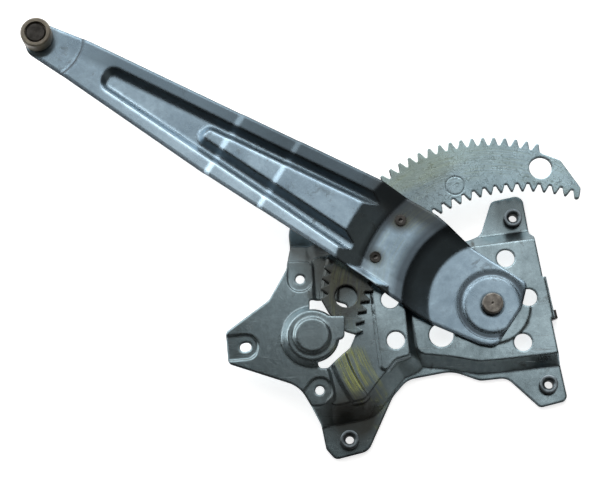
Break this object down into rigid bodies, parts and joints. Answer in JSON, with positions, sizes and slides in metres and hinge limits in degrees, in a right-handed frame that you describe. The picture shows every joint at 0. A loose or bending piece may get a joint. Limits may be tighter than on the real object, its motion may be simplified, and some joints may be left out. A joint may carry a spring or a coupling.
{
  "type": "window regulator",
  "caption": "Single arm window regulator: stamped base plate, lift arm with toothed sector and counterbalance spring at the pivot, nylon guide roller at the arm tip.",
  "frame": {"origin": "on the pivot axis, in the mounting face of the four ears", "axes": "+Z along the pivot axis, from the door panel towards the roller side; +X from the pinion dome towards the pivot; +Y towards the raised arm"},
  "size_m": [0.4045, 0.318, 0.0406],
  "materials": {
    "plate_zinc": "zinc plated, satin, scratched",
    "arm_zinc": "zinc plated, satin",
    "sector_zinc": "zinc plated, rubbed",
    "nut_zinc": "zinc plated",
    "pin_steel": "bare oiled steel",
    "spring_steel": "dark spring steel",
    "bush_bronze": "sintered bronze",
    "nylon": "tan nylon"
  },
  "bodies": {
    "plate": {"base_plate": "plate_zinc", "weld_nut_top_right": "nut_zinc", "weld_nut_bottom_right": "nut_zinc", "weld_nut_bottom": "nut_zinc", "weld_nut_upper_left": "nut_zinc", "pivot_bush": "bush_bronze", "front_washer": "nut_zinc", "balance_spring": "spring_steel"},
    "arm": {"lift_arm": "arm_zinc", "sector_gear": "sector_zinc", "sector_rivet_upper": "pin_steel", "sector_rivet_lower": "pin_steel", "pivot_shaft": "pin_steel", "spring_tang": "spring_steel", "back_washer": "nut_zinc", "retaining_ring": "spring_steel", "roller_stud": "pin_steel", "roller_washer": "nut_zinc"},
    "roller": {"guide_roller": "nylon"}
  },
  "joints": [
    {"name": "arm_pivot", "type": "hinge", "parent": "plate", "child": "arm", "pos_m": [0, 0, 0.0118], "axis": [0, 0, 1], "range_deg": [0, 100]},
    {"name": "roller_spin", "type": "hinge", "parent": "arm", "child": "roller", "pos_m": [-0.3286, 0.199, 0.03465], "axis": [0, 0, 1], "continuous": true}
  ]
}
